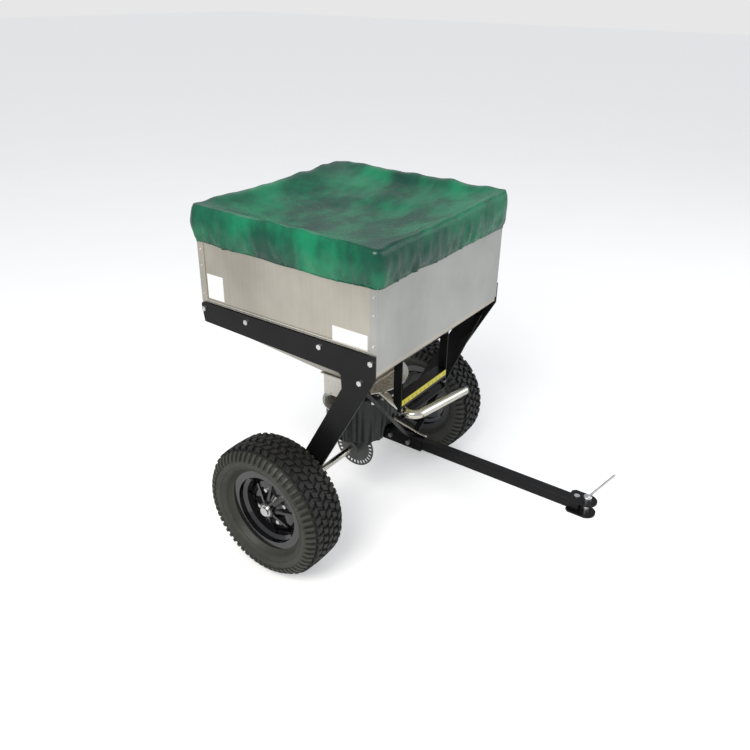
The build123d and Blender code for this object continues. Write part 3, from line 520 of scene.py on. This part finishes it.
def skirt_point(x, y, out, index, fall, drop, centre, top):
    """A point of the skirt that hangs outside the rim, gathered at the hem."""
    turn = 2 * math.pi * index / COVER_COLUMNS
    ring = Vector((math.cos(turn) * 22, math.sin(turn) * 22, 0))
    belly = 0.006 * math.sin(math.pi * min(1.0, fall * 1.05))
    crease = noise.noise(ring + Vector((0, 0, fall * 1.6))) * 0.009 * fall
    fine = noise.noise(ring * 2.7 + Vector((0, 0, fall * 2.5 + 7))) * 0.0045 * fall
    phase = index * 2 * math.pi / 6.0 + 2.2 * noise.noise(ring * 0.7)
    gather = math.sin(phase) * 0.0022 * max(0, fall - 0.72) / 0.28
    hem = -0.005 * max(0, fall - 0.82) / 0.18
    reach = 0.0035 + belly + crease + fine + gather + hem
    reach = max(reach, 0.0005)
    length = drop + 0.006 + noise.noise(Vector((math.cos(turn) * 4, math.sin(turn) * 4, 3))) * 0.008
    round_over = 1 - math.cos(min(fall * 3.2, 1.0) * math.pi / 2)
    z = top + rim_height(x, y) * (1 - fall) - length * fall - 0.002 * round_over
    return (centre.x + x + out[0] * reach, centre.y + y + out[1] * reach, z)


def make_cover():
    """The rain cover, in place of its plain solid."""
    mesh = cover_mesh()
    obj = piece("cover_sheet", mesh, "rain_cover", [TARP])
    for polygon in mesh.polygons:
        polygon.use_smooth = True
    thick = obj.modifiers.new("thickness", "SOLIDIFY")
    thick.thickness = 0.0008
    thick.offset = -1
    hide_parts("cover")


def make_curtain():
    """Rubber curtain hanging in folds round the front of the spinner."""
    columns, rows = CURTAIN_COLUMNS, CURTAIN_ROWS
    high, low, knee = CURTAIN_HIGH, CURTAIN_LOW, CURTAIN_KNEE
    slit_x, slit_half, slit_z = STAY_SLIT
    bm = bmesh.new()
    grid = []
    for i in range(columns + 1):
        angle = math.radians(-170 + 160 * i / columns)
        fold = math.sin(i * 0.42 + 2.0 * noise.noise(Vector((i * 0.05, 0, 0.5))))
        column = []
        for j in range(rows + 1):
            z = high + (low - high) * j / rows
            down = max(0.0, (knee - z) / (knee - low))
            hang = (high - z) / (high - low)
            r = CURTAIN_R - CURTAIN_TAPER * down + 0.0028 * fold * hang
            z += 0.002 * hang * noise.noise(Vector((i * 0.04, 3, 1)))
            column.append(bm.verts.new((r * math.cos(angle), r * math.sin(angle), z)))
        grid.append(column)
    for a, b in zip(grid, grid[1:]):
        for j in range(rows):
            middle = (a[j].co + b[j + 1].co) / 2
            if abs(middle.x) < BAR_NOTCH[0] and middle.z < BAR_NOTCH[1]:
                continue
            if abs(middle.x - slit_x) < slit_half and middle.z < slit_z:
                continue
            bm.faces.new((a[j], a[j + 1], b[j + 1], b[j])).smooth = True
    bmesh.ops.delete(bm, geom=[v for v in bm.verts if not v.link_faces], context="VERTS")
    obj = piece("curtain_folds", bm, "frame", [SHEET_RUBBER])
    thick = obj.modifiers.new("thickness", "SOLIDIFY")
    thick.thickness = 0.003
    thick.offset = 0
    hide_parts("spinner_curtain")


def box_piece(name, low, high, body, material):
    """A plain block between two corners in metres."""
    bm = bmesh.new()
    bmesh.ops.create_cube(bm, size=1.0)
    low, high = Vector(low), Vector(high)
    for vert in bm.verts:
        vert.co = Vector(((low[k] + high[k]) / 2 + vert.co[k] * (high[k] - low[k]) for k in range(3)))
    return piece(name, bm, body, [material])


def make_trim():
    """Label places, the seam over the side plates and the graduations of the scale."""
    side = -0.309
    box_piece("label_rear", (side - 0.0004, 0.228, 0.720), (side, 0.287, 0.790), "frame", LABEL)
    box_piece("label_front", (side - 0.0004, -0.249, 0.714), (side, -0.143, 0.753), "frame", LABEL)
    for sign, name in ((-1, "right"), (1, "left")):
        for k, z in enumerate((0.7065, 0.7125)):
            xs = sorted((sign * 0.309, sign * 0.3118))
            box_piece(f"seam_{name}_{k}", (xs[0], -0.254, z), (xs[1], 0.290, z + 0.0025),
                      "frame", BRIGHT)
    for k in range(11):
        x = -0.105 + 0.021 * k
        tall = 0.009 if k % 2 == 0 else 0.006
        box_piece(f"scale_mark_{k}", (x - 0.0008, -0.2301, 0.4675), (x + 0.0008, -0.2297, 0.4675 + tall),
                  "frame", INK)


def make_stage():
    """Plain pale floor that keeps the shadow."""
    material, tree, principled = shader("studio_floor")
    grain = noise_node(tree, coordinates(tree), 3.0, 2.0)
    tree.links.new(ramp(tree, grain, [(0.0, (0.86, 0.86, 0.86)), (1.0, (0.90, 0.90, 0.90))]),
                   principled.inputs["Base Color"])
    principled.inputs["Roughness"].default_value = 0.9
    rays = add(tree, "ShaderNodeLightPath")
    glow = add(tree, "ShaderNodeEmission")
    tree.links.new(rays.outputs["Is Camera Ray"], glow.inputs["Strength"])
    glow.inputs["Color"].default_value = (0.3, 0.3, 0.3, 1)
    both = add(tree, "ShaderNodeAddShader")
    output = tree.nodes["Material Output"]
    tree.links.new(principled.outputs[0], both.inputs[0])
    tree.links.new(glow.outputs[0], both.inputs[1])
    tree.links.new(both.outputs[0], output.inputs["Surface"])
    mesh = bpy.data.meshes.new("studio_floor")
    size = 30.0
    corners = [(-size, -size, 0), (size, -size, 0), (size, size, 0), (-size, size, 0)]
    mesh.from_pydata(corners, [], [(0, 1, 2, 3)])
    floor = bpy.data.objects.new("studio_floor", mesh)
    bpy.context.scene.collection.objects.link(floor)
    mesh.materials.append(material)


def make_world():
    """Pale surroundings: white to the camera, soft grey as light."""
    world = bpy.data.worlds.new("studio")
    bpy.context.scene.world = world
    world.use_nodes = True
    tree = world.node_tree
    tree.nodes.clear()
    output = add(tree, "ShaderNodeOutputWorld")
    light = add(tree, "ShaderNodeBackground")
    light.inputs["Color"].default_value = (0.93, 0.96, 1.0, 1)
    light.inputs["Strength"].default_value = 0.55
    seen = add(tree, "ShaderNodeBackground")
    seen.inputs["Strength"].default_value = 1.0
    rays = add(tree, "ShaderNodeLightPath")
    mixed = add(tree, "ShaderNodeMixShader")
    tree.links.new(rays.outputs["Is Camera Ray"], mixed.inputs["Fac"])
    tree.links.new(light.outputs[0], mixed.inputs[1])
    tree.links.new(seen.outputs[0], mixed.inputs[2])
    tree.links.new(mixed.outputs[0], output.inputs["Surface"])


def make_lamp(name, place, target, size, power, colour):
    """Soft square lamp aimed at a point."""
    data = bpy.data.lights.new(name, "AREA")
    data.size = size
    data.energy = power
    data.color = colour
    lamp = bpy.data.objects.new(name, data)
    bpy.context.scene.collection.objects.link(lamp)
    lamp.location = place
    lamp.rotation_euler = (Vector(target) - Vector(place)).to_track_quat("-Z", "Y").to_euler()


def make_camera():
    """Camera at the photograph's view."""
    data = bpy.data.cameras.new("camera")
    data.lens = CAMERA_LENS
    data.sensor_width = 36.0
    data.clip_end = 100
    camera = bpy.data.objects.new("camera", data)
    bpy.context.scene.collection.objects.link(camera)
    az = math.radians(CAMERA_AZIMUTH)
    el = math.radians(CAMERA_ELEVATION)
    roll = math.radians(CAMERA_ROLL)
    back = Vector((math.sin(az) * math.cos(el), -math.cos(az) * math.cos(el), math.sin(el)))
    right = Vector((math.cos(az), math.sin(az), 0))
    up = back.cross(right)
    turned = right * math.cos(roll) + up * math.sin(roll)
    up = up * math.cos(roll) - right * math.sin(roll)
    matrix = Matrix((turned, up, back)).transposed().to_4x4()
    matrix.translation = CAMERA_PLACE
    camera.matrix_world = matrix
    bpy.context.scene.camera = camera


bpy.context.scene.view_settings.view_transform = "Standard"
make_camera()
make_world()
make_stage()
make_lamp("key", (-3.2, -0.6, 3.6), (0, 0, 0.5), 2.2, 150, (1.0, 0.97, 0.92))
make_lamp("fill", (2.0, -3.4, 2.4), (0, 0, 0.5), 3.0, 50, (0.94, 0.97, 1.0))
finish_nodes()
make_tyres()
make_cover()
make_curtain()
make_trim()
